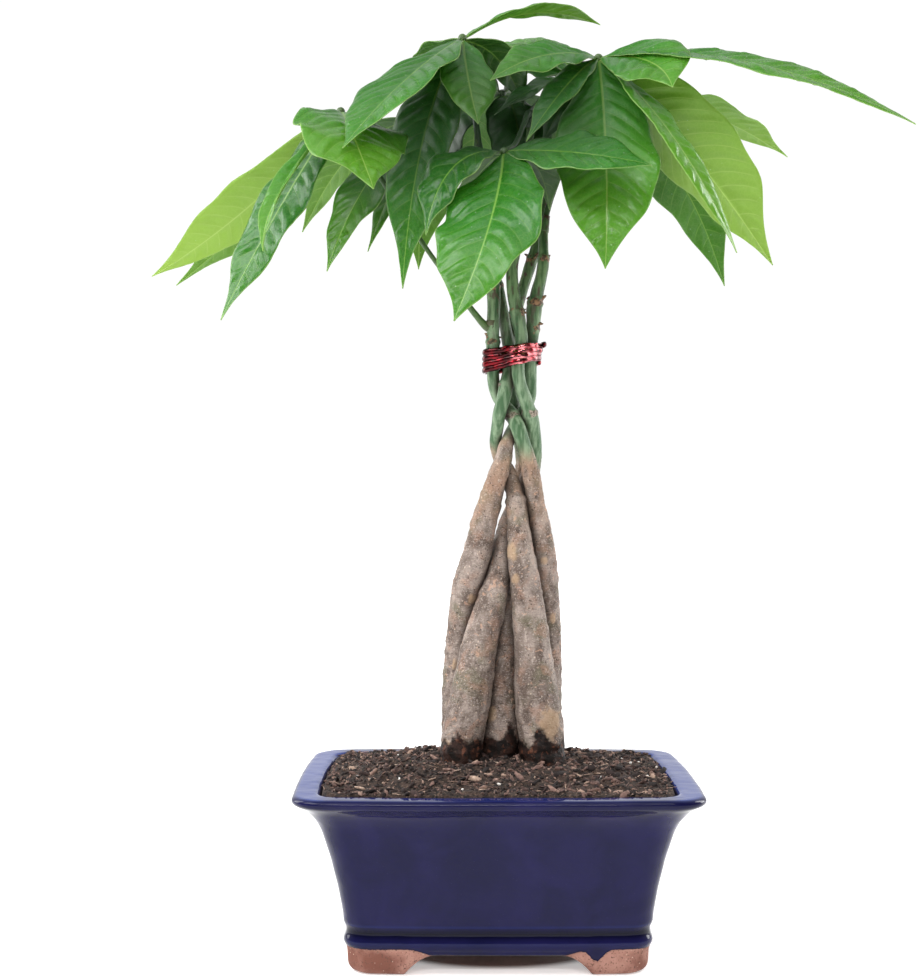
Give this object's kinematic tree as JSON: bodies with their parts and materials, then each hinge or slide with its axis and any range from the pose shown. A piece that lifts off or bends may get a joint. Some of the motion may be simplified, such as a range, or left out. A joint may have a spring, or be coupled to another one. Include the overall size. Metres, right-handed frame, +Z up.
{
  "type": "potted money tree",
  "caption": "Braided money tree with palmate leaves, trunks tied with red foil wire, growing in a footed rectangular glazed pot.",
  "frame": {"origin": "on the floor under the middle of the pot", "axes": "+Z up the trunks; +X along the pot's long side, to the right as seen from the front; -Y is the front"},
  "size_m": [0.3905, 0.2122, 0.5068],
  "materials": {
    "glazed_ceramic": "gloss",
    "soil": "matte",
    "mesh_plastic": "matte",
    "bark": "matte",
    "foil_wire": "gloss",
    "leaf": "satin"
  },
  "bodies": {
    "root": {"pot": "glazed_ceramic", "soil": "soil", "drain_mesh_left": "mesh_plastic", "drain_mesh_right": "mesh_plastic", "trunk_back_left": "bark", "trunk_front_left": "bark", "trunk_front_right": "bark", "trunk_back_right": "bark", "trunk_middle": "bark", "wire_tie": "foil_wire", "leaf_front": "leaf", "leaf_top_left": "leaf", "leaf_left": "leaf", "leaf_right": "leaf", "leaf_back_right": "leaf", "leaf_back_left": "leaf", "leaf_back": "leaf"}
  },
  "joints": []
}
